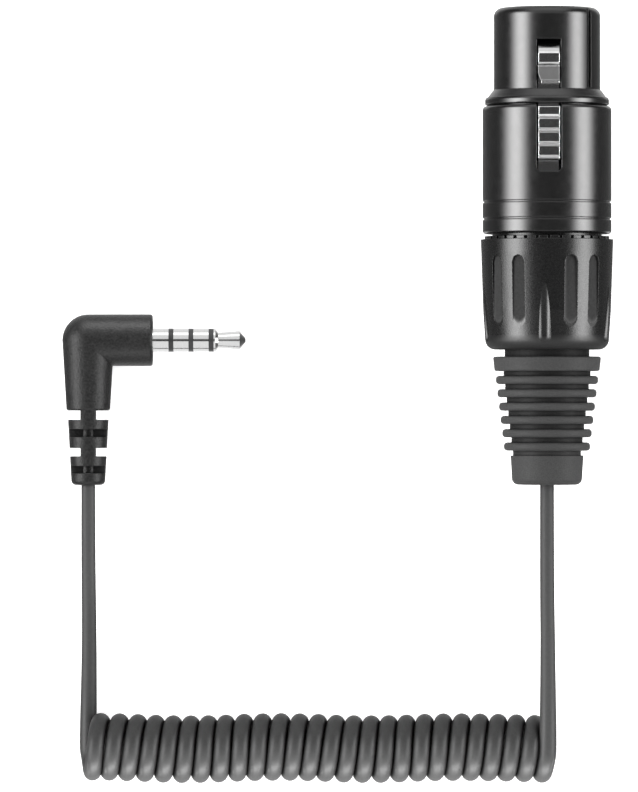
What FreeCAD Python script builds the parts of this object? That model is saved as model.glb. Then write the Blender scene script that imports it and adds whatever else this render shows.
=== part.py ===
import FreeCAD, Part
import Sketcher
import math
import os

from FreeCAD import Placement, Rotation, Vector

# Coiled audio lead: a three-pole female connector on a short straight lead, a curly
# cord, a second straight lead and a right-angle 3.5 mm four-pole plug.
# It lies on the plane z = 0. The connector's axis runs along Y, nose towards +Y.
# The origin is on that plane, under the middle of the connector.

# Driving dimensions, in millimetres and degrees. Y values are places along the
# connector's axis, radii and heights are taken from that axis.
SIZES = [
    ("AxisHeight", 9.9),
    # front shell
    ("NoseRadius", 7.95),
    ("NoseBore", 7.2),
    ("NoseFront", 35.65),
    ("NoseRound", 1.25),
    ("LipRadius", 6.55),
    ("LipBack", 34.65),
    ("NoseBack", 23.3),
    ("NoseFootRadius", 8.1),
    ("CollarStep", 22.2),
    ("CollarStepRadius", 8.9),
    ("CollarFlareRadius", 9.1),
    ("CollarRound", 0.25),
    ("CollarEdge", 21.85),
    ("CollarRadius", 9.27),
    ("CollarBack", 21.1),
    ("SpigotRadius", 8.4),
    ("SpigotBack", 7.3),
    ("WindowFront", 30.67),
    ("WindowHalf", 1.8),
    ("KeywayWidth", 0.9),
    ("KeywayDepth", 0.4),
    ("KeywayTurn", 50),
    ("KeywayBack", 23.6),
    # barrel shell
    ("BarrelRadius", 9.62),
    ("BarrelFront", 20.95),
    ("BarrelBack", 1.85),
    ("BarrelRound", 0.6),
    ("BarrelChamfer", 0.3),
    ("BarrelBore", 8.43),
    ("ThreadBore", 8.25),
    ("ThreadFront", 7.1),
    ("SlotBack", 10.95),
    ("SlotHalf", 1.87),
    ("SlotRound", 0.5),
    ("LineFront", 6.6),
    ("LineBack", 4.07),
    ("LineWidth", 0.3),
    ("LineDepth", 0.2),
    # contact insert
    ("InsertRadius", 7.15),
    ("InsertFront", 34.6),
    ("InsertBack", 12.7),
    ("InsertChamfer", 0.4),
    ("ChannelHalf", 1.95),
    ("ChannelFloor", 3.9),
    ("ChannelFront", 31.3),
    ("EarHalf", 2.9),
    ("EarBack", 8.1),
    ("EarFloor", 4.6),
    ("EarTop", 6.5),
    # contacts
    ("ContactRadius", 1.6),
    ("ContactBore", 1.21),
    ("ContactMouth", 1.3),
    ("ContactFront", 33.7),
    ("ContactFloor", 21.7),
    ("ContactShoulder", 12.7),
    ("CupRadius", 1.15),
    ("CupBore", 0.75),
    ("CupFloor", 11.2),
    ("CupBack", 8.3),
    ("ContactSide", 3.77),
    ("ContactRise", 1.0),
    ("ContactDrop", 3.9),
    # ground ring
    ("RingRadius", 7.15),
    ("RingBore", 6.75),
    ("RingFront", 12.6),
    ("RingBack", 10.3),
    ("RingGapHalf", 3.2),
    # latch
    ("PivotY", 9.5),
    ("PivotHeight", 5.6),
    ("PinRadius", 0.5),
    ("PinHalf", 2.85),
    ("LeverHalf", 1.575),
    ("LeverHole", 0.55),
    ("EyeRadius", 1.0),
    ("ArmTop", 6.1),
    ("ArmBottom", 5.1),
    ("LeverBack", 8.6),
    ("LugFront", 30.0),
    ("LugLead", 0.55),
    ("LugRelief", 0.5),
    ("LugSlope", 0.75),
    ("LugCrest", 27.1),
    ("LugRise", 0.65),
    ("LugDrop", 0.5),
    ("LugCornerWidth", 0.5),
    ("LugCornerLength", 1.5),
    ("LugBack", 24.07),
    ("ButtonFront", 20.55),
    ("ButtonBack", 12.6),
    ("ButtonHeight", 9.35),
    ("RidgeFirst", 19.05),
    ("RidgeRise", 0.22),
    ("RidgePitch", 2.02),
    ("RidgeWidth", 0.6),
    ("SpringHalf", 1.1),
    ("SpringThick", 0.2),
    # screw-on bushing
    ("BushingRadius", 9.9),
    ("BushingFront", 1.03),
    ("BushingWaist", 9.55),
    ("BushingWaistY", -9.6),
    ("BushingTailRadius", 9.15),
    ("BushingBack", -15.43),
    ("BushingRound", 1.5),
    ("ToothRadius", 9.3),
    ("ToothFront", 1.5),
    ("ToothWidth", 0.5),
    ("ToothDepth", 0.75),
    ("StubRadius", 8.18),
    ("StubFront", 5.9),
    ("StubBore", 7.3),
    ("CavityBack", -10.7),
    ("TailBore", 6.4),
    ("ScallopRadius", 1.2),
    ("ScallopTilt", 6.1),
    ("ScallopLength", 12),
    ("ScallopHeight", 10.04),
    ("ScallopEnd", -13.5),
    ("ScallopTurn", -4),
    ("GripWidth", 2.0),
    ("GripFront", -1.35),
    ("GripBack", -13.9),
    ("GripFloor", 9.38),
    ("GripTurn", 24),
    # boot
    ("BootSleeve", 6.33),
    ("BootCollar", 6.95),
    ("BootCollarFront", -9.0),
    ("BootCollarBack", -10.6),
    ("FlangeFront", -16.48),
    ("FlangeRadius", 8.09),
    ("FlangeTailRadius", 7.84),
    ("FlangeBack", -18.65),
    ("FlangeRound", 0.3),
    ("RibFirst", -19.98),
    ("RibPitch", 1.99),
    ("RibThick", 1.25),
    ("RibRadius", 7.65),
    ("RibStep", 0.24),
    ("RibRound", 0.5),
    ("GrooveRadius", 6.5),
    ("GrooveStep", 0.235),
    ("CapFront", -31.28),
    ("CapRadius", 5.45),
    ("CapTailRadius", 5.2),
    ("BootBack", -35.65),
    ("CapRound", 0.95),
    ("BootBore", 1.4),
    # chuck
    ("ChuckFront", -0.5),
    ("ChuckBack", -8.6),
    ("ChuckRadius", 6.9),
    ("ChuckTailRadius", 4.9),
    ("ChuckSlit", 0.9),
    # cord
    ("LeadRadius", 1.08),
    ("JacketFront", 2.0),
    ("WireRadius", 0.4),
    ("CoilRadius", 5.1),
    ("CoilLeft", -69.63),
    ("CoilLength", 71.23),
    ("CoilY", -75.28),
    # angled plug
    ("PlugHeight", 4.0),
    ("PlugY", -13.98),
    ("PlugCorner", -68.81),
    ("LimbRadius", 3.9),
    ("LimbRound", 0.35),
    ("FaceX", -59.13),
    ("TailRadius", 3.28),
    ("TailY", -24.56),
    ("PlugPinRadius", 1.75),
    ("CollarRise", 0.5),
    ("CollarThick", 0.8),
    ("PinSunk", 1.4),
    ("ShankRadius", 1.55),
    ("ShankStand", 0.12),
    ("NestRadius", 1.25),
    ("NestStep", 0.15),
    ("TailStep", 0.55),
    ("NeckRadius", 1.2),
    ("BulbRadius", 1.43),
    ("ConeLength", 0.9),
    ("SleeveEnd", -56.72),
    ("FirstBandEnd", -55.98),
    ("FirstRingEnd", -53.71),
    ("SecondBandEnd", -52.99),
    ("SecondRingEnd", -50.69),
    ("ThirdBandEnd", -49.94),
    ("NeckEnd", -49.27),
    ("PinEnd", -45.13),
    ("ReliefRadius", 3.15),
    ("ReliefTailRadius", 2.52),
    ("ReliefEnd", -35.77),
    ("SpineHalf", 1.1),
    ("WindowWeb", 0.8),
    ("ChamberHalf", 1.7),
    ("FirstGapBack", -25.95),
    ("FirstWindowFront", -27.35),
    ("FirstWindowBack", -28.55),
    ("SecondGapFront", -30.2),
    ("SecondGapBack", -31.45),
    ("SecondWindowFront", -32.87),
    ("SecondWindowBack", -34.0),
]

ALIASES = {alias for alias, _ in SIZES}
RIB_COUNT = 6
RIDGE_COUNT = 4
TOOTH_COUNT = 33
SCALLOP_COUNT = 5
MIN_LEAD_BEND = 5.0  # least bend radius of a lead, in diameters
RIM_SEARCH = 0.02  # how near a circle must lie to the place it is looked for at

doc = FreeCAD.newDocument("coiled_lead")
sheet = doc.addObject("Spreadsheet::Sheet", "Sizes")
for row, (alias, number) in enumerate(SIZES, start=1):
    sheet.set(f"A{row}", alias)
    sheet.set(f"B{row}", str(number))
    sheet.setAlias(f"B{row}", alias)
doc.recompute()

subparts = []


# ---------------------------------------------------------------- size words


def words_of(spec):
    """The signed terms of a size such as "RibFirst - 2*RibPitch"."""
    sign = 1
    for word in str(spec).split():
        if word == "+":
            sign = 1
        elif word == "-":
            sign = -1
        else:
            yield sign, word
            sign = 1


def value(spec):
    """The number that a size in words stands for."""
    total = 0.0
    for sign, word in words_of(spec):
        factor, _, name = word.rpartition("*")
        size = float(sheet.get(name)) if name in ALIASES else float(name)
        total += sign * (float(factor) if factor else 1.0) * size
    return total


def formula(spec):
    """The same size as an expression on the spreadsheet."""
    terms = []
    for sign, word in words_of(spec):
        factor, _, name = word.rpartition("*")
        cell = "Sizes." + name if name in ALIASES else name
        terms.append(("+ " if sign > 0 else "- ") + (factor + " * " if factor else "") + cell)
    return "0 " + " ".join(terms)


# ---------------------------------------------------------- part design helpers


def new_body(label, x="0", y="0", z="AxisHeight"):
    """A body whose own origin stands at x, y, z, normally on the connector's axis."""
    body = doc.addObject("PartDesign::Body", label)
    body.Label = label
    for axis, spec in (("x", x), ("y", y), ("z", z)):
        body.setExpression("Placement.Base." + axis, formula(spec))
    subparts.append(body)
    return body


def origin_feature(body, role):
    return next(f for f in body.Origin.OriginFeatures if f.Role == role)


def attach(feature, body, plane, lift="0", turn="0"):
    """Lay a feature on a plane, turned about the plane's own Y axis, then lifted off it."""
    feature.AttachmentSupport = [(origin_feature(body, plane), "")]
    feature.MapMode = "FlatFace"
    angle = f"({formula(turn)}) * 1 deg"
    feature.AttachmentOffset = Placement(Vector(0, 0, 0), Rotation(Vector(0, 1, 0), 1))
    feature.setExpression("AttachmentOffset.Rotation.Angle", angle)
    feature.setExpression("AttachmentOffset.Base.x", f"({formula(lift)}) * sin({angle})")
    feature.setExpression("AttachmentOffset.Base.z", f"({formula(lift)}) * cos({angle})")


def new_sketch(body, plane, lift="0", turn="0"):
    sketch = body.newObject("Sketcher::SketchObject", body.Label + "_sketch")
    attach(sketch, body, plane, lift, turn)
    return sketch


def pin_point(sketch, geometry, position, x, y):
    """Fix one point of the sketch at x, y from its origin."""
    for kind, spec in (("DistanceX", x), ("DistanceY", y)):
        place = sketch.addConstraint(
            Sketcher.Constraint(kind, -1, 1, geometry, position, value(spec))
        )
        sketch.setExpression(f"Constraints[{place}]", formula(spec))


def draw_outline(sketch, points):
    """A closed outline of straight lines through points given as sizes in words."""
    corners = [Vector(value(x), value(y), 0) for x, y in points]
    first = sketch.GeometryCount
    for start, end in zip(corners, corners[1:] + corners[:1]):
        sketch.addGeometry(Part.LineSegment(start, end), False)
    count = len(points)
    for i, (x, y) in enumerate(points):
        sketch.addConstraint(
            Sketcher.Constraint("Coincident", first + i, 2, first + (i + 1) % count, 1)
        )
        pin_point(sketch, first + i, 1, x, y)


def draw_circle(sketch, x, y, radius):
    centre = Vector(value(x), value(y), 0)
    circle = sketch.addGeometry(Part.Circle(centre, Vector(0, 0, 1), value(radius)), False)
    pin_point(sketch, circle, 3, x, y)
    place = sketch.addConstraint(Sketcher.Constraint("Radius", circle, value(radius)))
    sketch.setExpression(f"Constraints[{place}]", formula(radius))


def finish_feature(body, feature):
    body.Tip = feature
    doc.recompute()
    if "Invalid" in feature.State or feature.Shape.isNull():
        raise RuntimeError(f"{body.Label}: {feature.Name} failed")
    return feature


def revolved(body, points, kind="Revolution", axis="V_Axis"):
    """Turn an outline of radius and length once round the axis."""
    sketch = new_sketch(body, "XY_Plane")
    draw_outline(sketch, points)
    feature = body.newObject("PartDesign::" + kind, body.Label + "_turned")
    feature.Profile = sketch
    feature.ReferenceAxis = (sketch, [axis])
    feature.Angle = 360
    return finish_feature(body, feature)


def padded(body, plane, points, thickness):
    """An outline given an even thickness to both sides of its plane."""
    sketch = new_sketch(body, plane)
    draw_outline(sketch, points)
    feature = body.newObject("PartDesign::Pad", body.Label + "_pad")
    feature.Profile = sketch
    feature.SideType = "Symmetric"
    feature.setExpression("Length", formula(thickness))
    return finish_feature(body, feature)


def pocket(body, plane, draw, lift="0", turn="0", reverse=False, depth=None, both_sides=False):
    """Cut what draw sketches, from lift, away from the plane or towards its back."""
    before = body.Tip.Shape.Volume
    sketch = new_sketch(body, plane, lift, turn)
    draw(sketch)
    feature = body.newObject("PartDesign::Pocket", body.Label + "_pocket")
    feature.Profile = sketch
    feature.SideType = "Symmetric" if both_sides else "One side"
    if depth is None:
        feature.Type = "ThroughAll"
    else:
        feature.setExpression("Length", formula(depth))
    feature.Reversed = reverse
    finish_feature(body, feature)
    if not feature.Shape.Volume < before:
        raise RuntimeError(f"{body.Label}: a pocket removes nothing")
    return feature


def box_outline(x_low, x_high, y_low, y_high):
    return [(x_low, y_low), (x_high, y_low), (x_high, y_high), (x_low, y_high)]


def around(body, features, count):
    """Repeat features evenly round the body's Y axis."""
    pattern = body.newObject("PartDesign::PolarPattern", body.Label + "_pattern")
    pattern.Originals = features
    pattern.Axis = (origin_feature(body, "Y_Axis"), [""])
    pattern.Angle = 360
    pattern.Occurrences = count
    return finish_feature(body, pattern)


def soften_rims(body, kind, size, *wanted):
    """A fillet or chamfer along the circles round the Y axis at each (radius, y)."""
    tip = body.Tip
    names = []
    for i, edge in enumerate(tip.Shape.Edges, start=1):
        if not isinstance(edge.Curve, Part.Circle):
            continue
        centre = edge.Curve.Center
        for radius, y in wanted:
            gap = abs(edge.Curve.Radius - value(radius)) + abs(centre.y - value(y))
            if gap < RIM_SEARCH and math.hypot(centre.x, centre.z) < RIM_SEARCH:
                names.append(f"Edge{i}")
    if len(names) != len(wanted):
        raise RuntimeError(f"{body.Label}: {len(names)} of {len(wanted)} rims found")
    feature = body.newObject("PartDesign::" + kind, body.Label + "_edge")
    feature.Base = (tip, names)
    feature.setExpression("Radius" if kind == "Fillet" else "Size", formula(size))
    return finish_feature(body, feature)


# ---------------------------------------------------------------- connector


def front_shell():
    """Nose, conical collar and the spigot that the barrel slides over."""
    body = new_body("front_shell")
    revolved(body, [
        ("LipRadius", "NoseFront"),
        ("NoseRadius", "NoseFront"),
        ("NoseRadius", "NoseBack"),
        ("NoseFootRadius", "NoseBack"),
        ("CollarStepRadius", "CollarStep"),
        ("CollarFlareRadius", "CollarStep"),
        ("CollarRadius", "CollarEdge"),
        ("CollarRadius", "CollarBack"),
        ("SpigotRadius", "CollarBack"),
        ("SpigotRadius", "SpigotBack"),
        ("NoseBore", "SpigotBack"),
        ("NoseBore", "LipBack"),
        ("LipRadius", "LipBack"),
    ])
    soften_rims(body, "Fillet", "NoseRound", ("NoseRadius", "NoseFront"))
    soften_rims(body, "Fillet", "CollarRound", ("CollarRadius", "CollarBack"))
    window = box_outline("- WindowHalf", "WindowHalf", "NoseBack", "WindowFront")
    pocket(body, "XY_Plane", lambda s: draw_outline(s, window), reverse=True)
    throat = box_outline("- SlotHalf", "SlotHalf", "SpigotBack - 1", "CollarBack")
    pocket(body, "XY_Plane", lambda s: draw_outline(s, throat), reverse=True)
    keyway = box_outline("- 0.5*KeywayWidth", "0.5*KeywayWidth", "KeywayBack", "NoseFront + 1")
    pocket(body, "XY_Plane", lambda s: draw_outline(s, keyway), lift="NoseRadius - KeywayDepth",
           turn="KeywayTurn", reverse=True)


def barrel_shell():
    """Sleeve with the button's slot, two fine turned lines and the rear bore."""
    body = new_body("barrel_shell")
    revolved(body, [
        ("BarrelBore", "BarrelFront"),
        ("BarrelRadius", "BarrelFront"),
        ("BarrelRadius", "BarrelBack"),
        ("ThreadBore", "BarrelBack"),
        ("ThreadBore", "ThreadFront"),
        ("BarrelBore", "ThreadFront"),
    ])
    soften_rims(body, "Fillet", "BarrelRound", ("BarrelRadius", "BarrelFront"))
    soften_rims(body, "Chamfer", "BarrelChamfer", ("BarrelRadius", "BarrelBack"))
    for line in ("LineFront", "LineBack"):
        revolved(body, [
            ("BarrelRadius - LineDepth", line + " - 0.5*LineWidth"),
            ("BarrelRadius + 1", line + " - 0.5*LineWidth"),
            ("BarrelRadius + 1", line + " + 0.5*LineWidth"),
            ("BarrelRadius - LineDepth", line + " + 0.5*LineWidth"),
        ], kind="Groove")
    slot = [
        ("- SlotHalf", "BarrelFront + 1"),
        ("- SlotHalf", "SlotBack + SlotRound"),
        ("- SlotHalf + SlotRound", "SlotBack"),
        ("SlotHalf - SlotRound", "SlotBack"),
        ("SlotHalf", "SlotBack + SlotRound"),
        ("SlotHalf", "BarrelFront + 1"),
    ]
    pocket(body, "XY_Plane", lambda s: draw_outline(s, slot), reverse=True)


CONTACT_PLACES = [
    ("- ContactSide", "ContactRise"),
    ("ContactSide", "ContactRise"),
    ("0", "- ContactDrop"),
]


def contact_insert():
    """Plastic carrier with three bores, the lever's channel and two pivot ears."""
    body = new_body("contact_insert")
    revolved(body, [
        ("0", "InsertFront"),
        ("InsertRadius", "InsertFront"),
        ("InsertRadius", "InsertBack"),
        ("0", "InsertBack"),
    ])
    soften_rims(body, "Chamfer", "InsertChamfer", ("InsertRadius", "InsertFront"))
    channel = box_outline("- ChannelHalf", "ChannelHalf", "InsertBack - 1", "ChannelFront")
    pocket(body, "XY_Plane", lambda s: draw_outline(s, channel), lift="ChannelFloor", reverse=True)

    # An XZ sketch looks back along the connector: its depth runs towards -Y.
    def mouths(sketch):
        for x, rise in CONTACT_PLACES:
            draw_circle(sketch, x, rise, "ContactMouth")

    def bores(sketch):
        for x, rise in CONTACT_PLACES:
            draw_circle(sketch, x, rise, "ContactRadius")

    pocket(body, "XZ_Plane", mouths, both_sides=True)
    pocket(body, "XZ_Plane", bores, lift="- ContactFront", reverse=True)
    for side in ("", "- "):
        inner, outer = side + "ChannelHalf", side + "EarHalf"
        ear = new_sketch(body, "XY_Plane", "EarFloor")
        draw_outline(ear, box_outline(inner, outer, "EarBack", "InsertBack + 0.5"))
        pad = body.newObject("PartDesign::Pad", "ear")
        pad.Profile = ear
        pad.setExpression("Length", formula("EarTop - EarFloor"))
        finish_feature(body, pad)
    hole = new_sketch(body, "YZ_Plane")
    draw_circle(hole, "PivotY", "PivotHeight", "PinRadius")
    drilled = body.newObject("PartDesign::Pocket", "pivot_hole")
    drilled.Profile = hole
    drilled.SideType = "Symmetric"
    drilled.Type = "ThroughAll"
    finish_feature(body, drilled)


def contacts():
    """Three turned female contacts, open at the front, with a solder cup behind."""
    for i, (x, rise) in enumerate(CONTACT_PLACES, start=1):
        body = new_body(f"contact_{i}", x=x, z=f"AxisHeight + {rise}".replace("+ -", "-"))
        revolved(body, [
            ("ContactBore", "ContactFront"),
            ("ContactRadius", "ContactFront"),
            ("ContactRadius", "ContactShoulder"),
            ("CupRadius", "ContactShoulder"),
            ("CupRadius", "CupBack"),
            ("CupBore", "CupBack"),
            ("CupBore", "CupFloor"),
            ("0", "CupFloor"),
            ("0", "ContactFloor"),
            ("ContactBore", "ContactFloor"),
        ])


def ground_ring():
    """Open spring ring behind the insert that earths the shell."""
    body = new_body("ground_ring")
    revolved(body, [
        ("RingBore", "RingFront"),
        ("RingRadius", "RingFront"),
        ("RingRadius", "RingBack"),
        ("RingBore", "RingBack"),
    ])
    gap = box_outline("- RingGapHalf", "RingGapHalf", "RingBack - 1", "RingFront + 1")
    pocket(body, "XY_Plane", lambda s: draw_outline(s, gap), reverse=True)


def latch_lever():
    """One metal lever: pivot eye, serrated button, arm under the collar, catch lug."""
    body = new_body("latch_lever")
    side = [
        ("LeverBack", "ArmBottom"),
        ("ButtonBack", "ArmBottom"),
        ("LugFront", "ArmBottom + LugRelief"),
        ("LugFront", "NoseRadius - LugLead"),
        ("LugFront - LugSlope", "NoseRadius + 0.3*LugRise"),
        ("LugFront - 2*LugSlope", "NoseRadius + LugRise"),
        ("LugCrest", "NoseRadius + LugRise"),
        ("LugCrest - LugDrop", "NoseRadius + 0.3*LugRise"),
        ("LugBack + LugDrop", "NoseRadius + 0.3*LugRise"),
        ("LugBack + 0.6*LugDrop", "NoseRadius"),
        ("LugBack", "NoseRadius"),
        ("LugBack", "ArmTop"),
        ("ButtonFront", "ArmTop"),
        ("ButtonFront", "ButtonHeight"),
    ]
    for i in range(RIDGE_COUNT):
        crest = f"RidgeFirst - {i}*RidgePitch"
        side += [
            (crest + " + 0.5*RidgeWidth", "ButtonHeight"),
            (crest + " + 0.15*RidgeWidth", "ButtonHeight + RidgeRise"),
            (crest + " - 0.15*RidgeWidth", "ButtonHeight + RidgeRise"),
            (crest + " - 0.5*RidgeWidth", "ButtonHeight"),
        ]
    side += [
        ("ButtonBack", "ButtonHeight - RidgeRise"),
        ("ButtonBack", "ArmTop"),
        ("LeverBack", "ArmTop"),
    ]
    padded(body, "YZ_Plane", side, "2*LeverHalf")
    eye = new_sketch(body, "YZ_Plane")
    draw_circle(eye, "PivotY", "PivotHeight", "EyeRadius")
    rounded = body.newObject("PartDesign::Pad", "eye")
    rounded.Profile = eye
    rounded.SideType = "Symmetric"
    rounded.setExpression("Length", formula("2*LeverHalf"))
    finish_feature(body, rounded)
    # The lug's rear corner on the -X side is cut away.
    corner = [
        ("- LeverHalf - 1", "LugBack - 1"),
        ("- LeverHalf + LugCornerWidth", "LugBack - 1"),
        ("- LeverHalf + LugCornerWidth", "LugBack"),
        ("- LeverHalf", "LugBack + LugCornerLength"),
        ("- LeverHalf - 1", "LugBack + LugCornerLength"),
    ]
    pocket(body, "XY_Plane", lambda s: draw_outline(s, corner), lift="ArmTop", reverse=True)
    pocket(body, "YZ_Plane", lambda s: draw_circle(s, "PivotY", "PivotHeight", "LeverHole"),
           both_sides=True)


def latch_pin():
    """Pivot pin across the insert's ears."""
    body = new_body("latch_pin")
    sketch = new_sketch(body, "YZ_Plane")
    draw_circle(sketch, "PivotY", "PivotHeight", "PinRadius")
    feature = body.newObject("PartDesign::Pad", "pin")
    feature.Profile = sketch
    feature.SideType = "Symmetric"
    feature.setExpression("Length", formula("2*PinHalf"))
    finish_feature(body, feature)


def latch_spring():
    """Bent leaf spring between the channel's floor and the lever's arm."""
    body = new_body("latch_spring")
    low, high = "ChannelFloor", "ArmBottom"
    padded(body, "YZ_Plane", [
        ("LugBack + 3", low),
        ("LugBack + 3", low + " + SpringThick"),
        ("LugBack", low + " + SpringThick"),
        ("ButtonFront - 2", high),
        ("ButtonFront - 4", high),
        ("ButtonFront - 4", high + " - SpringThick"),
        ("ButtonFront - 2", high + " - SpringThick"),
        ("LugBack", low),
    ], "2*SpringHalf")


def bushing():
    """Screw-on bushing: threaded stub, toothed rim, five scallops and ten grip slots."""
    body = new_body("bushing")
    revolved(body, [
        ("StubBore", "StubFront"),
        ("StubRadius", "StubFront"),
        ("StubRadius", "ToothFront"),
        ("ToothRadius", "ToothFront"),
        ("ToothRadius", "BushingFront"),
        ("BushingRadius", "BushingFront"),
        ("BushingWaist", "BushingWaistY"),
        ("BushingTailRadius", "BushingBack"),
        ("TailBore", "BushingBack"),
        ("TailBore", "CavityBack"),
        ("StubBore", "CavityBack"),
    ])
    soften_rims(body, "Fillet", "BushingRound", ("BushingTailRadius", "BushingBack"))

    tooth = box_outline("- 0.5*ToothWidth", "0.5*ToothWidth", "BushingFront", "ToothFront + 1")
    notch = pocket(body, "XY_Plane", lambda s: draw_outline(s, tooth),
                   lift="ToothRadius - ToothDepth", reverse=True)
    around(body, [notch], TOOTH_COUNT)

    # A leaning round-nosed cutter leaves a flame: pointed in front, round at its end.
    turn = value("ScallopTurn")
    lean = Rotation(Vector(0, 1, 0), turn).multiply(
        Rotation(Vector(1, 0, 0), value("ScallopTilt") - 90)
    )
    cutters = []
    for shape in ("Cylinder", "Sphere"):
        cutter = body.newObject("PartDesign::Subtractive" + shape, "flame_" + shape.lower())
        cutter.setExpression("Radius", formula("ScallopRadius"))
        if shape == "Cylinder":
            cutter.setExpression("Height", formula("ScallopLength"))
        cutter.AttachmentSupport = [(origin_feature(body, "XY_Plane"), "")]
        cutter.MapMode = "FlatFace"
        cutter.AttachmentOffset = Placement(Vector(0, 0, 0), lean)
        sine = "sin(Sizes.ScallopTurn * 1 deg)"
        cosine = "cos(Sizes.ScallopTurn * 1 deg)"
        cutter.setExpression("AttachmentOffset.Base.x", "Sizes.ScallopHeight * " + sine)
        cutter.setExpression("AttachmentOffset.Base.y", "Sizes.ScallopEnd")
        cutter.setExpression("AttachmentOffset.Base.z", "Sizes.ScallopHeight * " + cosine)
        cutters.append(finish_feature(body, cutter))
    around(body, cutters, SCALLOP_COUNT)

    # Grip slots have level floors, so the tapering wall lets them fade out behind.
    grip = [
        ("- 0.5*GripWidth", "GripBack"),
        ("0.5*GripWidth", "GripBack"),
        ("0.5*GripWidth", "GripFront - 0.5*GripWidth"),
        ("0.35*GripWidth", "GripFront - 0.15*GripWidth"),
        ("0", "GripFront"),
        ("- 0.35*GripWidth", "GripFront - 0.15*GripWidth"),
        ("- 0.5*GripWidth", "GripFront - 0.5*GripWidth"),
    ]
    for step in (1, 2):
        slot = pocket(body, "XY_Plane", lambda s: draw_outline(s, grip), lift="GripFloor",
                      turn=f"ScallopTurn + {step}*GripTurn", reverse=True, depth="GripWidth")
        around(body, [slot], SCALLOP_COUNT)


def boot():
    """Rubber boot: sleeve held in the bushing, flange, rounded ribs and end cap."""
    body = new_body("boot")
    outline = [
        ("BootBore", "BootCollarFront"),
        ("BootCollar", "BootCollarFront"),
        ("BootCollar", "BootCollarBack"),
        ("BootSleeve", "BootCollarBack"),
        ("BootSleeve", "FlangeFront"),
        ("FlangeRadius", "FlangeFront"),
        ("FlangeTailRadius", "FlangeBack"),
    ]
    rib_rims = []
    for i in range(RIB_COUNT):
        middle = f"RibFirst - {i}*RibPitch"
        groove = f"GrooveRadius - {i}*GrooveStep"
        rib = f"RibRadius - {i}*RibStep"
        front, back = middle + " + 0.5*RibThick", middle + " - 0.5*RibThick"
        if i == 0:
            outline.append((groove, "FlangeBack"))
        outline += [(groove, front), (rib, front), (rib, back)]
        outline.append((f"GrooveRadius - {i + 1}*GrooveStep", back))
        rib_rims += [(rib, front), (rib, back)]
    outline += [
        (f"GrooveRadius - {RIB_COUNT}*GrooveStep", "CapFront"),
        ("CapRadius", "CapFront"),
        ("CapTailRadius", "BootBack"),
        ("BootBore", "BootBack"),
    ]
    revolved(body, outline)
    soften_rims(body, "Fillet", "RibRound", *rib_rims)
    soften_rims(body, "Fillet", "FlangeRound", ("FlangeRadius", "FlangeFront"),
                ("FlangeTailRadius", "FlangeBack"))
    soften_rims(body, "Fillet", "CapRound", ("CapTailRadius", "BootBack"))


def cable_chuck():
    """Slit collet that the bushing closes on the jacket."""
    body = new_body("cable_chuck")
    revolved(body, [
        ("LeadRadius", "ChuckFront"),
        ("ChuckRadius", "ChuckFront"),
        ("ChuckRadius", "ChuckFront - 1"),
        ("ChuckTailRadius", "ChuckBack"),
        ("LeadRadius", "ChuckBack"),
    ])
    slit = box_outline("- 0.5*ChuckSlit", "0.5*ChuckSlit", "ChuckBack - 1", "ChuckFront - 2")
    pocket(body, "XY_Plane", lambda s: draw_outline(s, slit), both_sides=True)
    pocket(body, "YZ_Plane", lambda s: draw_outline(s, [(y, x) for x, y in slit]), both_sides=True)


# --------------------------------------------------------------------- cord


def tube_along(name, route, radius, least_bend=None):
    """A round tube along straight runs joined by tangent arcs, as large as fit."""
    points = [Vector(*p) for p in route]
    runs = [(b - a).Length for a, b in zip(points, points[1:])]
    edges = []
    start = points[0]
    for i in range(1, len(points) - 1):
        before = (points[i] - points[i - 1]).normalize()
        after = (points[i + 1] - points[i]).normalize()
        half_turn = before.getAngle(after) / 2
        reach = 0.45 * min(runs[i - 1], runs[i])
        bend = reach / math.tan(half_turn)
        print(f"{name}: arc {i} radius {bend:.1f} mm, turn {math.degrees(2 * half_turn):.1f} deg")
        if least_bend is not None and bend < least_bend:
            raise RuntimeError(f"{name}: arc {i} is too tight")
        arc_start = points[i] - before * reach
        arc_end = points[i] + after * reach
        bisector = (after - before).normalize()
        arc_middle = points[i] + bisector * (bend / math.cos(half_turn) - bend)
        edges.append(Part.LineSegment(start, arc_start).toShape())
        edges.append(Part.Arc(arc_start, arc_middle, arc_end).toShape())
        start = arc_end
    edges.append(Part.LineSegment(start, points[-1]).toShape())
    path = Part.Wire(edges)
    heading = points[1] - points[0]
    section = Part.Wire([Part.Circle(points[0], heading, radius).toShape()])
    tube = path.makePipeShell([section], True, False)
    expected = math.pi * radius**2 * path.Length
    print(f"{name}: length {path.Length:.1f} mm, volume {tube.Volume:.1f} of {expected:.1f} mm3")
    if abs(tube.Volume / expected - 1) > 0.02:
        raise RuntimeError(f"{name}: the tube's volume isn't its section times its length")
    return tube


def free_shape(label, shape):
    """A sub-part whose shape is made directly."""
    feature = doc.addObject("Part::Feature", label)
    feature.Label = label
    feature.Shape = shape
    feature.Placement = Placement(Vector(0, 0, 0), Rotation())
    subparts.append(feature)
    return feature


def coil_solid():
    """The curly cord's outer shape: one fat tube, lying along X."""
    coil = doc.addObject("Part::Cylinder", "coil")
    coil.Label = "coil"
    coil.setExpression("Radius", formula("CoilRadius"))
    coil.setExpression("Height", formula("CoilLength"))
    coil.Placement = Placement(Vector(0, 0, 0), Rotation(Vector(0, 1, 0), 90))
    coil.setExpression("Placement.Base.x", formula("CoilLeft"))
    coil.setExpression("Placement.Base.y", formula("CoilY"))
    coil.setExpression("Placement.Base.z", formula("CoilRadius"))
    doc.recompute()
    subparts.append(coil)
    return coil


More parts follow.
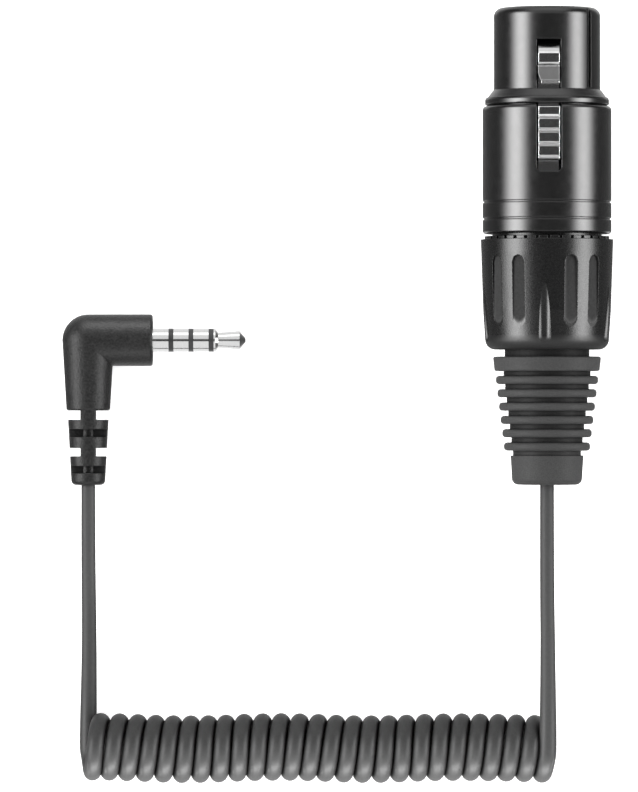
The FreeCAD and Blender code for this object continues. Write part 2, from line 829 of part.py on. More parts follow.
# Route of each straight lead, chosen by hand. The first leaves the boot level with
# the connector's axis and sinks to the top of the coil. The second leaves the plug's
# strain relief and runs down to the underside of the coil.
CONNECTOR_LEAD = [
    (0.0, -35.65, 9.9),
    (0.0, -49.3, 9.9),
    (0.15, -60.8, 9.55),
    (0.25, -72.3, 8.9),
]
PLUG_LEAD = [
    (-68.81, -35.77, 4.0),
    (-68.81, -46.3, 4.0),
    (-68.7, -59.8, 1.9),
    (-68.5, -72.3, 1.3),
]


def leads(coil):
    """The straight leads, each cut where it meets the coil's solid."""
    radius = value("LeadRadius")
    least_bend = MIN_LEAD_BEND * 2 * radius
    for name, route in (("lead_connector", CONNECTOR_LEAD), ("lead_plug", PLUG_LEAD)):
        tube = tube_along(name, route, radius, least_bend)
        free_shape(name, tube.cut(coil.Shape))


def cable_end():
    """The jacket's end, from the boot's rear face through the chuck."""
    body = new_body("cable_end")
    revolved(body, [
        ("0", "JacketFront"),
        ("LeadRadius", "JacketFront"),
        ("LeadRadius", "BootBack"),
        ("0", "BootBack"),
    ])


def connector_wires():
    """Three insulated wires from the jacket's end to the solder cups."""
    axis, radius = value("AxisHeight"), value("WireRadius")
    start_y, end_y = value("JacketFront"), value("CupFloor")
    for i, (x, rise) in enumerate(CONTACT_PLACES, start=1):
        x, rise = value(x), value(rise)
        share = 1.4 * radius / math.hypot(x, rise)
        route = [
            (x * share, start_y, axis + rise * share),
            (x * share, start_y + 3 * radius, axis + rise * share),
            (x, end_y - 10 * radius, axis + rise),
            (x, end_y, axis + rise),
        ]
        name = f"contact_wire_{i}"
        free_shape(name, tube_along(name, route, radius))


# -------------------------------------------------------------- angled plug

PIN_PIECES = [
    ("plug_sleeve", "FaceX - PinSunk", "SleeveEnd"),
    ("plug_band_1", "SleeveEnd", "FirstBandEnd"),
    ("plug_ring_1", "FirstBandEnd", "FirstRingEnd"),
    ("plug_band_2", "FirstRingEnd", "SecondBandEnd"),
    ("plug_ring_2", "SecondBandEnd", "SecondRingEnd"),
    ("plug_band_3", "SecondRingEnd", "ThirdBandEnd"),
]


def new_plug_body(label):
    return new_body(label, y="PlugY", z="PlugHeight")


def turned_on_x(body, points):
    """Turn an outline of length along X and radius once round the pin's axis."""
    return revolved(body, points, axis="H_Axis")


def plug_pin():
    """Nested turned pieces of the four-pole pin, each on the outside of the next."""
    for i, (node, start, end) in enumerate(PIN_PIECES):
        body = new_plug_body(node)
        tail = f"FaceX - PinSunk - CollarThick - {i}*TailStep"
        bore = f"NestRadius - {i}*NestStep"
        if i == 0:
            outline = [
                (tail, bore),
                (tail, "ShankRadius + CollarRise"),
                (start, "ShankRadius + CollarRise"),
                (start, "ShankRadius"),
                ("FaceX + ShankStand", "ShankRadius"),
                ("FaceX + ShankStand", "PlugPinRadius"),
            ]
        else:
            shank = f"NestRadius - {i - 1}*NestStep"
            outline = [
                (tail, bore),
                (tail, shank),
                (start, shank),
                (start, "PlugPinRadius"),
            ]
        outline += [(end, "PlugPinRadius"), (end, bore)]
        turned_on_x(body, outline)
    last = len(PIN_PIECES)
    core = f"NestRadius - {last - 1}*NestStep"
    tail = f"FaceX - PinSunk - CollarThick - {last}*TailStep"
    tip = new_plug_body("plug_tip")
    turned_on_x(tip, [
        (tail, "0"),
        (tail, core),
        ("ThirdBandEnd", core),
        ("ThirdBandEnd", "PlugPinRadius"),
        ("0.6*ThirdBandEnd + 0.4*NeckEnd", "PlugPinRadius"),
        ("NeckEnd", "NeckRadius"),
        ("NeckEnd + CollarRise", "NeckRadius"),
        ("PinEnd - ConeLength", "BulbRadius"),
        ("PinEnd - 0.1*ConeLength", "0.3*BulbRadius"),
        ("PinEnd", "0.2*BulbRadius"),
        ("PinEnd", "0"),
    ])


def plug_wires():
    """Four wires from the plug's terminals down to the cable, as one group."""
    radius = value("WireRadius")
    spread = 1.2 * radius
    bottom = value("TailY + 1")
    top = value("PlugY - 0.5*LimbRadius")
    wires = []
    for across in (-spread, spread):
        for rise in (-spread, spread):
            start = Vector(value("PlugCorner") + across, bottom, value("PlugHeight") + rise)
            wires.append(Part.makeCylinder(radius, top - bottom, start, Vector(0, 1, 0)))
    free_shape("plug_wires", Part.makeCompound(wires))


def plug_jacket():
    """The jacket's end inside the plug's moulding, down to its end."""
    body = new_body("plug_cable_end", x="PlugCorner", z="PlugHeight")
    revolved(body, [
        ("0", "TailY + 1"),
        ("LeadRadius", "TailY + 1"),
        ("LeadRadius", "ReliefEnd"),
        ("0", "ReliefEnd"),
    ])


def block(x_low, x_high, y_low, y_high, z_low, z_high):
    low = Vector(x_low, y_low, z_low)
    return Part.makeBox(x_high - x_low, y_high - y_low, z_high - z_low, low)


def rounded_end(shape, low_side, place, radius):
    """Fillet the edges that lie wholly at one place: low_side names the box limits."""
    first, second = low_side
    ends = [
        edge for edge in shape.Edges
        if abs(getattr(edge.BoundBox, first) - place) < RIM_SEARCH
        and abs(getattr(edge.BoundBox, second) - place) < RIM_SEARCH
    ]
    return shape.makeFillet(radius, ends)


def strain_relief(corner_x, height):
    """Tapered tail of the moulding: two side gaps and two windows across it."""
    along = Vector(0, -1, 0)
    reach = 2 * value("LimbRadius")
    spine, web = value("SpineHalf"), value("WindowWeb")
    top = Vector(corner_x, value("TailY + 0.5"), height)
    length = top.y - value("ReliefEnd")
    relief = Part.makeCone(value("ReliefRadius"), value("ReliefTailRadius"), length, top, along)
    relief = rounded_end(relief, ("YMin", "YMax"), value("ReliefEnd"), 2 * value("LimbRound"))
    for front, back in (("TailY", "FirstGapBack"), ("SecondGapFront", "SecondGapBack")):
        for low, high in ((-reach, -spine), (spine, reach)):
            gap = block(corner_x + low, corner_x + high, value(back), value(front),
                        height - reach, height + reach)
            relief = relief.cut(gap)
    core = Part.makeCylinder(spine, length, top, along)
    for name in ("FirstWindow", "SecondWindow"):
        for low, high in ((-reach, -web), (web, reach)):
            window = block(corner_x - reach, corner_x + reach, value(name + "Back"),
                           value(name + "Front"), height + low, height + high)
            relief = relief.cut(window.cut(core))
    return relief


def plug_overmould():
    """One rubbery moulding: two round limbs, ball corner, segmented strain relief."""
    height, limb = value("PlugHeight"), value("LimbRadius")
    corner = Vector(value("PlugCorner"), value("PlugY"), height)
    along_x, along_y = Vector(1, 0, 0), Vector(0, -1, 0)
    face_x, tail_y = value("FaceX"), value("TailY")
    round_size = value("LimbRound")
    face = Part.makeCylinder(limb, face_x - corner.x, corner, along_x)
    face = rounded_end(face, ("XMin", "XMax"), face_x, round_size)
    tail = Part.makeCone(limb, value("TailRadius"), corner.y - tail_y, corner, along_y)
    tail = rounded_end(tail, ("YMin", "YMax"), tail_y, round_size)
    ball = Part.makeSphere(limb, corner)
    relief = strain_relief(corner.x, height)
    shape = face.multiFuse([tail, ball, relief])

    # Room for what is moulded in: the pin's shank, the joints and the cable.
    half = value("ChamberHalf")
    sunk, thick = value("PinSunk"), value("CollarThick")
    shank_x = face_x - sunk
    shank = Part.makeCylinder(value("ShankRadius"), sunk,
                              Vector(shank_x, corner.y, height), along_x)
    flange = Part.makeCylinder(value("ShankRadius + CollarRise"), thick,
                               Vector(shank_x - thick, corner.y, height), along_x)
    chamber = block(corner.x - half, shank_x - thick, corner.y - half, corner.y + half,
                    height - half, height + half)
    wire_end = tail_y + 1
    chimney = block(corner.x - half, corner.x + half, wire_end, corner.y,
                    height - half, height + half)
    bore_length = wire_end - value("ReliefEnd")
    bore = Part.makeCylinder(value("LeadRadius"), bore_length,
                             Vector(corner.x, wire_end, height), along_y)
    for room in (shank, flange, chamber, chimney, bore):
        shape = shape.cut(room)
    free_shape("plug_overmould", shape)


# -------------------------------------------------------------------- model


def check_and_write():
    doc.recompute()
    for item in doc.Objects:
        if "Invalid" in item.State or "Error" in item.State:
            raise RuntimeError(f"{item.Label}: {item.State}")
    os.makedirs("parts", exist_ok=True)
    for part in subparts:
        if part.Shape.isNull() or not part.Shape.isValid():
            raise RuntimeError(f"{part.Label}: its shape isn't valid")
        part.Shape.exportStep(f"parts/{part.Label}.step")
        print(f"{part.Label}: {part.Shape.Volume:.1f} mm3, {len(part.Shape.Solids)} solid(s)")


front_shell()
barrel_shell()
contact_insert()
contacts()
ground_ring()
latch_lever()
latch_pin()
latch_spring()
bushing()
boot()
cable_chuck()
cable_end()
connector_wires()
leads(coil_solid())
plug_pin()
plug_wires()
plug_jacket()
plug_overmould()
check_and_write()
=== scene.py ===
import math

import bpy
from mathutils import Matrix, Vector


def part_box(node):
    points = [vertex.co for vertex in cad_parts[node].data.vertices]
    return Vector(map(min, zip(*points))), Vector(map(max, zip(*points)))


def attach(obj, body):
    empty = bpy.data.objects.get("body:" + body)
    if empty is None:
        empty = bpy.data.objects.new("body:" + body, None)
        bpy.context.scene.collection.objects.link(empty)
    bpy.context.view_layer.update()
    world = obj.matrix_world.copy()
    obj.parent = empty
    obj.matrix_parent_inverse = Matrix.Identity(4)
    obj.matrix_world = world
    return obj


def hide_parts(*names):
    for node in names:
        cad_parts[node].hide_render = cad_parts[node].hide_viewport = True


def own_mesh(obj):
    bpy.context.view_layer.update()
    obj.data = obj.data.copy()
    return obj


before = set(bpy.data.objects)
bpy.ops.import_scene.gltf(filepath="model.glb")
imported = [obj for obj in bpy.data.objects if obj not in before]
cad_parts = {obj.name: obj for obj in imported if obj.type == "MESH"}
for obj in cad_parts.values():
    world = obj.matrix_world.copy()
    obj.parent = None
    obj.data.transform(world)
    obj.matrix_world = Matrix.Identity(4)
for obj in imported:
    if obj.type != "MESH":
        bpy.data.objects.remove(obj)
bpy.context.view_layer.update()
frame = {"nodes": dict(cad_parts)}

MM = 0.001
scene = bpy.context.scene
nodes = frame["nodes"]


# ------------------------------------------------------------------ sizes

AXIS_HEIGHT = 9.9 * MM  # of the connector's axis over the table
COIL_LOW, COIL_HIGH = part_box("coil")
COIL_Y = (COIL_LOW.y + COIL_HIGH.y) / 2
COIL_RADIUS = (COIL_HIGH.z - COIL_LOW.z) / 2
LEAD_RADIUS = 1.045 * MM  # bare lead, near each plug
LEAD_FOOT_RADIUS = 1.11 * MM  # bare lead, where it meets the coil
COIL_CORD_RADIUS = 1.32 * MM  # the jacket is thicker where it is curled
TURNS = 25.5
POINTS_PER_TURN = 16
SCALLOP_COUNT = 5  # around the bushing, one of them on top
SOFT_EDGE = 0.15 * MM  # rounding of edges in the shading
GAP_SHADE = 0.85  # how far painted shade darkens rubber and the cord in a narrow gap


# --------------------------------------------------------- material helpers


def arithmetic(tree, kind, sources):
    """One step of arithmetic on numbers or on other nodes' outputs."""
    node = tree.nodes.new("ShaderNodeMath")
    node.operation = kind
    for slot, source in zip(node.inputs, sources):
        if isinstance(source, (int, float)):
            slot.default_value = source
        else:
            tree.links.new(source, slot)
    return node.outputs[0]


class Nodes:
    """A material's node tree, with short calls to add and join nodes."""

    def __init__(self, name):
        self.material = bpy.data.materials.new(name)
        self.material.use_nodes = True
        self.tree = self.material.node_tree
        self.shader = self.tree.nodes["Principled BSDF"]

    def add(self, kind, **values):
        node = self.tree.nodes.new(kind)
        for key, value in values.items():
            if hasattr(node, key):
                setattr(node, key, value)
            else:
                node.inputs[key.replace("_", " ")].default_value = value
        return node

    def link(self, source, target):
        self.tree.links.new(source, target)

    def set(self, **values):
        for key, value in values.items():
            self.shader.inputs[key.replace("_", " ")].default_value = value

    def math(self, kind, *sources):
        return arithmetic(self.tree, kind, sources)

    def scaled(self, colour, share):
        """The colour times this share, which is another node's output."""
        node = self.add("ShaderNodeVectorMath", operation="SCALE")
        self.link(colour, node.inputs[0])
        self.link(share, node.inputs["Scale"])
        return node.outputs[0]

    def place(self):
        """Coordinates in metres, fixed to the object."""
        if not hasattr(self, "coordinates"):
            self.coordinates = self.add("ShaderNodeTexCoord").outputs["Object"]
        return self.coordinates

    def split_place(self):
        """The same coordinates, as x, y and z."""
        node = self.add("ShaderNodeSeparateXYZ")
        self.link(self.place(), node.inputs[0])
        return node.outputs

    def noise(self, scale, detail=3.0, roughness=0.6, stretch=None):
        source = self.place()
        if stretch is not None:
            mapping = self.add("ShaderNodeMapping")
            mapping.inputs["Scale"].default_value = stretch
            self.link(source, mapping.inputs["Vector"])
            source = mapping.outputs["Vector"]
        node = self.add("ShaderNodeTexNoise", Scale=scale, Detail=detail, Roughness=roughness)
        self.link(source, node.inputs["Vector"])
        return node.outputs["Fac"]

    def spread(self, source, low, high, start=0.3, end=0.7):
        """Map a 0 to 1 value from start..end to low..high."""
        node = self.add("ShaderNodeMapRange")
        for key, value in (("From Min", start), ("From Max", end), ("To Min", low), ("To Max", high)):
            node.inputs[key].default_value = value
        self.link(source, node.inputs["Value"])
        return node.outputs["Result"]

    def tint(self, source, dark, light, start=0.3, end=0.7):
        ramp = self.add("ShaderNodeValToRGB")
        ramp.color_ramp.elements[0].position = start
        ramp.color_ramp.elements[0].color = (*dark, 1)
        ramp.color_ramp.elements[1].position = end
        ramp.color_ramp.elements[1].color = (*light, 1)
        self.link(source, ramp.inputs["Fac"])
        return ramp.outputs["Color"]

    def soften(self, radius, samples=6):
        """Round every edge in the shading by this radius, in metres."""
        node = self.add("ShaderNodeBevel", samples=samples, Radius=radius)
        self.normal = node.outputs["Normal"]
        self.link(self.normal, self.shader.inputs["Normal"])

    def painted_gap_shade(self, colour, distance, depth):
        """The colour with painted shade: darkened by depth in gaps narrower than this distance, in metres.
        """
        gap = self.add("ShaderNodeAmbientOcclusion", samples=8, Distance=distance)
        return self.scaled(colour, self.spread(gap.outputs["AO"], 1 - depth, 1.0, 0.25, 0.75))

    def bump(self, source, height, strength=1.0):
        """Add a layer of relief, height in metres, over any earlier one."""
        node = self.add("ShaderNodeBump", Strength=strength, Distance=height)
        self.link(source, node.inputs["Height"])
        if hasattr(self, "normal"):
            self.link(self.normal, node.inputs["Normal"])
        self.normal = node.outputs["Normal"]
        self.link(self.normal, self.shader.inputs["Normal"])


def grey(level):
    return (level, level, level)


# ---------------------------------------------------------------- materials


def lacquer():
    """Smooth black lacquer over die-cast metal."""
    m = Nodes("black_lacquer")
    m.set(Metallic=0.0, Specular_IOR_Level=0.6)
    m.soften(0.2 * MM)
    m.link(m.tint(m.noise(400, 4), grey(0.003), grey(0.005)), m.shader.inputs["Base Color"])
    m.link(m.spread(m.noise(900, 5), 0.22, 0.27), m.shader.inputs["Roughness"])
    m.bump(m.noise(2600, 2), 0.0008 * MM, 0.4)
    return m.material


def slot_floor(m):
    """1 on the floors of the bushing's grip slots, which are cut below its wall, else 0."""
    x, y, z = m.split_place()
    height = m.math("SUBTRACT", z, AXIS_HEIGHT)
    radius = m.math("SQRT", m.math("ADD", m.math("MULTIPLY", x, x), m.math("MULTIPLY", height, height)))
    # The wall's radius falls in two steps, gently and then faster towards its tail.
    front_wall = m.math("MULTIPLY_ADD", y, 0.033, 9.866 * MM)
    rear_wall = m.math("MULTIPLY_ADD", y, 0.0686, 10.209 * MM)
    wall = m.math("MINIMUM", front_wall, rear_wall)
    sunk = m.spread(m.math("SUBTRACT", wall, radius), 0.0, 1.0, 0.03 * MM, 0.08 * MM)
    ahead = m.spread(y, 0.0, 1.0, -12.2 * MM, -11.6 * MM)
    before = m.spread(y, 1.0, 0.0, -1.4 * MM, -1.2 * MM)
    # The scallops are cut below the wall too and are left out.
    around = m.math("COSINE", m.math("MULTIPLY", m.math("ARCTAN2", x, height), SCALLOP_COUNT))
    between = m.spread(around, 1.0, 0.0, 0.1, 0.4)
    return m.math("MULTIPLY", m.math("MULTIPLY", sunk, between), m.math("MULTIPLY", ahead, before))


def grained_plastic():
    """Satin black plastic with a fine grain, lighter and rougher on the grip slots' floors.

    The bushing's tail is rougher too.
    """
    m = Nodes("grained_plastic")
    m.set(Specular_IOR_Level=0.41)
    m.soften(SOFT_EDGE)
    floors = slot_floor(m)
    colour = m.tint(m.noise(3600, 4), grey(0.002), grey(0.006))
    m.link(m.scaled(colour, m.spread(floors, 1.0, 2.9, 0.0, 1.0)), m.shader.inputs["Base Color"])
    y = m.split_place()["Y"]
    tail = m.spread(y, 0.65, 0.0, -14.8 * MM, -13.2 * MM)
    plain = m.spread(m.noise(2500, 3), 0.23, 0.30)
    rough = m.math("MULTIPLY_ADD", m.math("MAXIMUM", floors, tail), 0.62, plain)
    m.link(rough, m.shader.inputs["Roughness"])
    m.bump(m.noise(5200, 2), 0.016 * MM, 0.8)
    return m.material


def rubber(name, colours, roughness, shine, grain=0.02 * MM, grain_scale=5200, gap=1.5 * MM):
    """Rubber with this grain, with painted shade in gaps narrower than this."""
    m = Nodes(name)
    m.set(Specular_IOR_Level=shine)
    m.soften(SOFT_EDGE)
    colour = m.tint(m.noise(grain_scale, 4), *colours)
    # Painted shade: the colour is darkened where gaps are narrow.
    m.link(m.painted_gap_shade(colour, gap, GAP_SHADE), m.shader.inputs["Base Color"])
    m.link(m.spread(m.noise(1800, 3), *roughness), m.shader.inputs["Roughness"])
    m.bump(m.noise(grain_scale, 3), grain, 0.8)
    return m.material


def curly_jacket():
    """The cord's jacket: satin where it is curled, rougher along the leads, with painted shade in narrow
    gaps.
    """
    m = Nodes("cord_jacket")
    m.set(Specular_IOR_Level=0.18)
    colour = m.tint(m.noise(2600, 4), grey(0.022), grey(0.027))
    # Painted shade: the colour is darkened where gaps between the turns are narrow.
    m.link(m.painted_gap_shade(colour, 1.5 * MM, GAP_SHADE), m.shader.inputs["Base Color"])
    y = m.split_place()["Y"]
    leads = m.spread(y, 0.42, 0.50, -71 * MM, -67 * MM)
    m.link(m.math("MULTIPLY_ADD", m.noise(1800, 3), 0.06, leads), m.shader.inputs["Roughness"])
    m.bump(m.noise(5200, 3), 0.006 * MM, 0.8)
    return m.material


def plated(name, colour, rough_low, rough_high, stretch=(1, 1, 1)):
    """Plated metal, with its marks stretched along an axis if it is turned."""
    m = Nodes(name)
    m.set(Metallic=1.0)
    darker = tuple(0.88 * c for c in colour)
    m.link(m.tint(m.noise(900, 3, stretch=stretch), darker, colour), m.shader.inputs["Base Color"])
    m.link(m.spread(m.noise(3000, 3, stretch=stretch), rough_low, rough_high), m.shader.inputs["Roughness"])
    m.bump(m.noise(6000, 2, stretch=stretch), 0.001 * MM, 0.5)
    return m.material


def stamped_lever():
    """Bright lever, rougher on the blasted low face behind the lug. Its colour is darkened there and on the
    lug's front as painted shade.
    """
    m = Nodes("bright_lever")
    m.set(Metallic=1.0)
    m.soften(SOFT_EDGE)
    y = m.split_place()["Y"]
    edge = 0.05 * MM
    patch_start, patch_end = 24.6 * MM, 26.5 * MM
    behind = m.spread(y, 1.0, 0.0, patch_end, patch_end + edge)
    ahead = m.spread(y, 0.0, 1.0, patch_start - edge, patch_start)
    blasted_and_painted_shade = m.math("MULTIPLY", behind, ahead)
    # Painted shade: the colour is darker on the lug's front and on the blasted face behind the lug.
    front_painted_shade = m.spread(y, 1.0, 0.40, 28.2 * MM, 28.8 * MM)
    darker = m.spread(blasted_and_painted_shade, 1.0, 0.27, 0.0, 1.0)
    bright = m.tint(m.noise(900, 3), grey(0.74), grey(0.82))
    m.link(m.scaled(m.scaled(bright, front_painted_shade), darker), m.shader.inputs["Base Color"])
    polished = m.spread(m.noise(3000, 3), 0.09, 0.14)
    m.link(m.math("MULTIPLY_ADD", blasted_and_painted_shade, 0.32, polished), m.shader.inputs["Roughness"])
    m.bump(m.noise(6000, 2), 0.002 * MM, 0.5)
    return m.material


def plain_plastic(name, colour, rough=0.4):
    m = Nodes(name)
    darker = tuple(0.8 * c for c in colour)
    m.link(m.tint(m.noise(800, 3), darker, colour), m.shader.inputs["Base Color"])
    m.link(m.spread(m.noise(1500, 3), rough - 0.06, rough + 0.06), m.shader.inputs["Roughness"])
    m.bump(m.noise(3000, 2), 0.005 * MM, 0.5)
    return m.material


LACQUER = lacquer()
GRAINED = grained_plastic()
BOOT_RUBBER = rubber("boot_rubber", (grey(0.028), grey(0.042)), (0.50, 0.60), 0.09, gap=3 * MM)
JACKET = curly_jacket()
MOULDING = rubber("moulding", (grey(0.004), grey(0.017)), (0.30, 0.38), 0.16, 0.09 * MM, 3600)
NICKEL = stamped_lever()
AROUND_X = (60, 1, 1)  # fine marks that run around a pin turned about X
TURNED = plated("turned_nickel", grey(0.76), 0.10, 0.18, AROUND_X)
TIP = plated("tip_nickel", grey(0.76), 0.15, 0.22, AROUND_X)
STEEL = plated("spring_steel", (0.55, 0.55, 0.56), 0.25, 0.40)
SILVER = plated("contact_silver", (0.80, 0.77, 0.70), 0.18, 0.30)
INSULATOR = plain_plastic("black_insulator", (0.022, 0.022, 0.023), 0.35)
INSERT = plain_plastic("insert_plastic", (0.026, 0.026, 0.027), 0.45)
ACETAL = plain_plastic("pale_acetal", (0.62, 0.61, 0.58), 0.4)
RED = plain_plastic("red_insulation", (0.50, 0.03, 0.03), 0.4)
WHITE = plain_plastic("white_insulation", (0.72, 0.71, 0.68), 0.4)
BLACK = plain_plastic("black_insulation", (0.03, 0.03, 0.03), 0.4)

FINISH = {
    "front_shell": LACQUER,
    "barrel_shell": LACQUER,
    "bushing": GRAINED,
    "boot": BOOT_RUBBER,
    "latch_lever": NICKEL,
    "latch_pin": STEEL,
    "latch_spring": STEEL,
    "ground_ring": STEEL,
    "contact_insert": INSERT,
    "contact_1": SILVER,
    "contact_2": SILVER,
    "contact_3": SILVER,
    "contact_wire_1": RED,
    "contact_wire_2": WHITE,
    "contact_wire_3": BLACK,
    "cable_chuck": ACETAL,
    "cable_end": JACKET,
    "plug_cable_end": JACKET,
    "plug_sleeve": TURNED,
    "plug_ring_1": TURNED,
    "plug_ring_2": TURNED,
    "plug_tip": TIP,
    "plug_band_1": INSULATOR,
    "plug_band_2": INSULATOR,
    "plug_band_3": INSULATOR,
    "plug_wires": WHITE,
    "plug_overmould": MOULDING,
    "coil": JACKET,
    "lead_connector": JACKET,
    "lead_plug": JACKET,
}

for node, material in FINISH.items():
    piece = nodes[node]
    piece.data.materials.clear()
    piece.data.materials.append(material)


# --------------------------------------------------------------------- cord

# The leads' routes in millimetres, as in the part's source.
CONNECTOR_LEAD = [
    (0.0, -34.65, 9.9),
    (0.0, -49.3, 9.9),
    (0.15, -60.8, 9.55),
]
PLUG_LEAD = [
    (-68.81, -34.77, 4.0),
    (-68.81, -46.3, 4.0),
    (-68.7, -59.8, 1.9),
]

# The line that the curls are wound about, from left to right, in millimetres: it wanders a
# little to and fro. Each point is a place along the coil and a distance aside from its middle.
COIL_ROUTE = [
    (-68.95, 0.15),
    (-67.0, 0.3),
    (-53.5, -0.34),
    (-40.0, 0.34),
    (-26.5, -0.34),
    (-13.0, 0.34),
    (0.2, -0.17),
]


def coil_line():
    """Points read from the smooth spline along the middle of the curls."""
    data = bpy.data.curves.new("coil_line", "CURVE")
    data.dimensions = "3D"
    spline = data.splines.new("NURBS")
    spline.points.add(len(COIL_ROUTE) - 1)
    for point, (along, aside) in zip(spline.points, COIL_ROUTE):
        point.co = (along * MM, COIL_Y + aside * MM, COIL_RADIUS, 1)
    spline.order_u = 3
    spline.use_endpoint_u = True
    spline.resolution_u = 24
    line = bpy.data.objects.new("coil_line", data)
    mesh = bpy.data.meshes.new_from_object(line)
    points = [v.co.copy() for v in mesh.vertices]
    bpy.data.objects.remove(line)
    bpy.data.meshes.remove(mesh)
    bpy.data.curves.remove(data)
    return points


def place_on(points, share):
    """The place at this share of a line's length, and the direction there."""
    runs = [(b - a).length for a, b in zip(points, points[1:])]
    left = share * sum(runs)
    for start, end, run in zip(points, points[1:], runs):
        if left <= run:
            return start.lerp(end, left / run), (end - start).normalized()
        left -= run
    return points[-1], (points[-1] - points[-2]).normalized()


def helix_points():
    """Control points of the curls, from under their left end to the top of their right end."""
    count = round(TURNS * POINTS_PER_TURN)
    step = 2 * math.pi / POINTS_PER_TURN
    # A quadratic spline runs inside its control points by this share.
    inside = (3 + math.cos(step)) / 4
    radius = (COIL_RADIUS - COIL_CORD_RADIUS) / inside
    line = coil_line()
    up = Vector((0, 0, 1))
    points = []
    for i in range(count + 1):
        turn = -math.pi / 2 + i * step
        middle, along = place_on(line, i / count)
        aside = up.cross(along)
        points.append(middle - radius * math.cos(turn) * aside + radius * math.sin(turn) * up)
    return points


def curly_cord():
    """The whole cord as one spline: lead, helix, lead, with the jacket's own thickness."""
    data = bpy.data.curves.new("curly_cord", "CURVE")
    data.dimensions = "3D"
    spline = data.splines.new("NURBS")
    lead_in = [tuple(c * MM for c in p) for p in CONNECTOR_LEAD]
    coil = [tuple(p) for p in reversed(helix_points())]
    lead_out = [tuple(c * MM for c in p) for p in reversed(PLUG_LEAD)]
    route = lead_in + coil + lead_out
    thin, foot, thick = LEAD_RADIUS, LEAD_FOOT_RADIUS, COIL_CORD_RADIUS
    radii = [thin, (thin + foot) / 2, foot]
    radii += [thick] * len(coil)
    radii += [foot, (thin + foot) / 2, thin]
    spline.points.add(len(route) - 1)
    for point, place, radius in zip(spline.points, route, radii):
        point.co = (*place, 1)
        point.radius = radius / thick
    spline.order_u = 3
    spline.use_endpoint_u = True
    spline.resolution_u = 6
    data.bevel_depth = thick
    data.bevel_resolution = 8
    cord = bpy.data.objects.new("curly_cord", data)
    scene.collection.objects.link(cord)
    data.materials.append(JACKET)
    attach(cord, "connector")
    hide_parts("coil", "lead_connector", "lead_plug")
    return cord


cord = curly_cord()


# ------------------------------------------------------------- latch spring


def leaf_spring():
    """The spring under the lever, copied from the part with a mesh of its own."""
    spring = bpy.data.objects.new("leaf_spring", nodes["latch_spring"].data.copy())
    scene.collection.objects.link(spring)
    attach(spring, "connector")
    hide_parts("latch_spring")
    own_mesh(spring)


leaf_spring()


# ----------------------------------------------------- camera, floor, lights

VIEW_CENTRE = Vector((-34.1 * MM, -22.375 * MM, 7 * MM))
CAMERA_DISTANCE = 1.0
FRAME_HEIGHT = 118.8 * MM
LAMP_DISTANCE = 0.35
HIGHLIGHT_TILT = 36  # of the coil's highlight from the top, in degrees
COIL_LAMP_SIZE = (0.17, 0.05)
COIL_LAMP_POWER = 2.0
PLUG_LAMP_SIZE = (0.17, 0.12)
# Name, angle from the zenith towards +Y in degrees, and power in watts.
PLUG_LAMPS = [
    ("plug_lamp_above", 70, 1.15),
    ("plug_lamp_below", -58, 0.45),
]
# Direction, power, the angles from the zenith where the panel starts, is full, fades and ends,
# and the half-widths where it fades and ends, all in degrees.
SKY_PANELS = [
    ("-X", 14.8, (32, 58, 60, 92), (12, 34)),
    ("+X", 12.4, (40, 64, 68, 95), (12, 34)),
    ("+Y", 0.85, (8, 14, 165, 180), (25, 45)),
    ("-Y", 0.95, (8, 14, 165, 180), (25, 45)),
    ("+Y", 1.2, (48, 62, 68, 90), (20, 45)),
]
UNDER_GLOW = 0.14
BASE_GLOW = 0.05
BACKDROP = 1.0


def camera():
    data = bpy.data.cameras.new("camera")
    data.sensor_width = 36
    data.lens = 36 * CAMERA_DISTANCE / FRAME_HEIGHT
    data.clip_start, data.clip_end = 0.05, 10
    eye = bpy.data.objects.new("camera", data)
    eye.location = VIEW_CENTRE + Vector((0, 0, CAMERA_DISTANCE))
    scene.collection.objects.link(eye)
    scene.camera = eye


def floor():
    """A plain pale table just below the part, which shines a little and isn't mirrored."""
    m = Nodes("pale_floor")
    m.link(m.tint(m.noise(6, 2), grey(0.90), grey(0.93)), m.shader.inputs["Base Color"])
    m.set(Roughness=0.9, Specular_IOR_Level=0.1)
    m.set(Emission_Color=(1, 1, 1, 1), Emission_Strength=0.5)
    bpy.ops.mesh.primitive_plane_add(size=4, location=(VIEW_CENTRE.x, VIEW_CENTRE.y, -0.05 * MM))
    plane = bpy.context.object
    plane.name = "floor"
    plane.data.materials.append(m.material)
    plane.visible_glossy = False


def softbox(name, place, size, power, target, receivers):
    """A lamp aimed at the target that lights only the receivers."""
    data = bpy.data.lights.new(name, "AREA")
    data.shape = "RECTANGLE"
    data.size, data.size_y = size
    data.energy = power
    lamp = bpy.data.objects.new(name, data)
    lamp.location = place
    lamp.rotation_euler = (target - Vector(place)).to_track_quat("-Z", "Y").to_euler()
    lamp.visible_camera = False
    lamp.light_linking.receiver_collection = receivers
    scene.collection.objects.link(lamp)


def lit_only(name, *pieces):
    """A collection of the pieces that a lamp lights."""
    group = bpy.data.collections.new(name)
    for piece in pieces:
        group.objects.link(piece)
    return group


def coil_lamps():
    """An arc of lamps that gives each turn of the coil one highlight across its near side."""
    only_cord = lit_only("only_cord", cord)
    target = Vector((-34 * MM, COIL_Y, COIL_RADIUS))
    slope = math.tan(math.radians(HIGHLIGHT_TILT))
    for i, aside in enumerate((-0.8, -0.42, 0.0, 0.42, 0.8)):
        # The direction whose mirror normal leans towards -Y by the same slope all along the arc.
        a, b, c = 1 + slope ** 2, 2 * slope ** 2, slope ** 2 + aside ** 2 - 1
        up = (-b + math.sqrt(b * b - 4 * a * c)) / (2 * a)
        toward = Vector((aside, -slope * (1 + up), up))
        place = target + LAMP_DISTANCE * toward
        softbox(f"coil_lamp_{i + 1}", place, COIL_LAMP_SIZE, COIL_LAMP_POWER, target, only_cord)


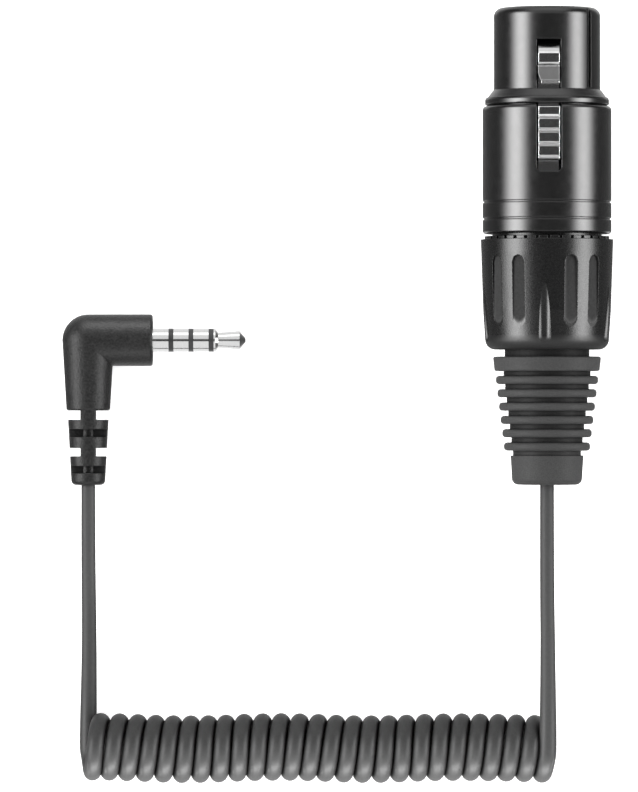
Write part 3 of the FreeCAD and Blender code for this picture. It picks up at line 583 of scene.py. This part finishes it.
def plug_lamps():
    """Two lamps, above and below in the picture, for the plug's moulding."""
    only_plug = lit_only("only_plug", nodes["plug_overmould"])
    low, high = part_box("plug_overmould")
    target = (low + high) / 2
    for name, angle, power in PLUG_LAMPS:
        tilt = math.radians(angle)
        toward = Vector((0, math.sin(tilt), math.cos(tilt)))
        softbox(name, target + LAMP_DISTANCE * toward, PLUG_LAMP_SIZE, power, target, only_plug)


class Sky:
    """A studio of soft panels, drawn on the world by direction."""

    def __init__(self):
        self.world = bpy.data.worlds.new("studio")
        self.world.use_nodes = True
        self.tree = self.world.node_tree
        split = self.tree.nodes.new("ShaderNodeSeparateXYZ")
        place = self.tree.nodes.new("ShaderNodeTexCoord")
        self.tree.links.new(place.outputs["Generated"], split.inputs[0])
        self.x, self.y, self.z = split.outputs
        self.total = None

    def math(self, kind, *sources):
        return arithmetic(self.tree, kind, sources)

    def ramp(self, source, start, end, low=0.0, high=1.0):
        """A soft step of an angle, in degrees."""
        node = self.tree.nodes.new("ShaderNodeMapRange")
        node.interpolation_type = "SMOOTHSTEP"
        for key, number in (("From Min", math.radians(start)), ("From Max", math.radians(end)),
                            ("To Min", low), ("To Max", high)):
            node.inputs[key].default_value = number
        self.tree.links.new(source, node.inputs["Value"])
        return node.outputs["Result"]

    def panel(self, toward, power, angles, half_width):
        """One panel: angles from the zenith where it starts, is full, fades and ends."""
        along, across = (self.x, self.y) if toward in ("+X", "-X") else (self.y, self.x)
        if toward[0] == "-":
            along = self.math("MULTIPLY", along, -1.0)
        tilt = self.math("ARCTAN2", along, self.z)
        aside = self.math("ABSOLUTE", self.math("ARCSINE", across))
        start, full, fade, end = angles
        shape = self.math("MULTIPLY", self.ramp(tilt, start, full), self.ramp(tilt, fade, end, 1.0, 0.0))
        shape = self.math("MULTIPLY", shape, self.ramp(aside, half_width[0], half_width[1], 1.0, 0.0))
        glow = self.math("MULTIPLY", shape, power)
        self.total = glow if self.total is None else self.math("ADD", self.total, glow)

    def under(self, power):
        """A faint glow from below the horizon, as off a pale table."""
        glow = self.math("MULTIPLY", self.ramp(self.math("ARCCOSINE", self.z), 95, 125), power)
        self.total = self.math("ADD", self.total, glow)

    def finish(self, base, backdrop):
        """The base glow goes everywhere; the camera itself sees a plain backdrop."""
        nodes, links = self.tree.nodes, self.tree.links
        light = nodes["Background"]
        links.new(self.math("ADD", self.total, base), light.inputs["Strength"])
        plain = nodes.new("ShaderNodeBackground")
        plain.inputs["Strength"].default_value = backdrop
        plain.inputs["Color"].default_value = (1, 1, 1, 1)
        light.inputs["Color"].default_value = (1, 1, 1, 1)
        mix = nodes.new("ShaderNodeMixShader")
        links.new(nodes.new("ShaderNodeLightPath").outputs["Is Camera Ray"], mix.inputs["Fac"])
        links.new(light.outputs[0], mix.inputs[1])
        links.new(plain.outputs[0], mix.inputs[2])
        links.new(mix.outputs[0], nodes["World Output"].inputs["Surface"])
        scene.world = self.world


def lights():
    sky = Sky()
    for panel in SKY_PANELS:
        sky.panel(*panel)
    sky.under(UNDER_GLOW)
    sky.finish(BASE_GLOW, BACKDROP)
    coil_lamps()
    plug_lamps()


camera()
floor()
lights()
scene.view_settings.view_transform = "Standard"
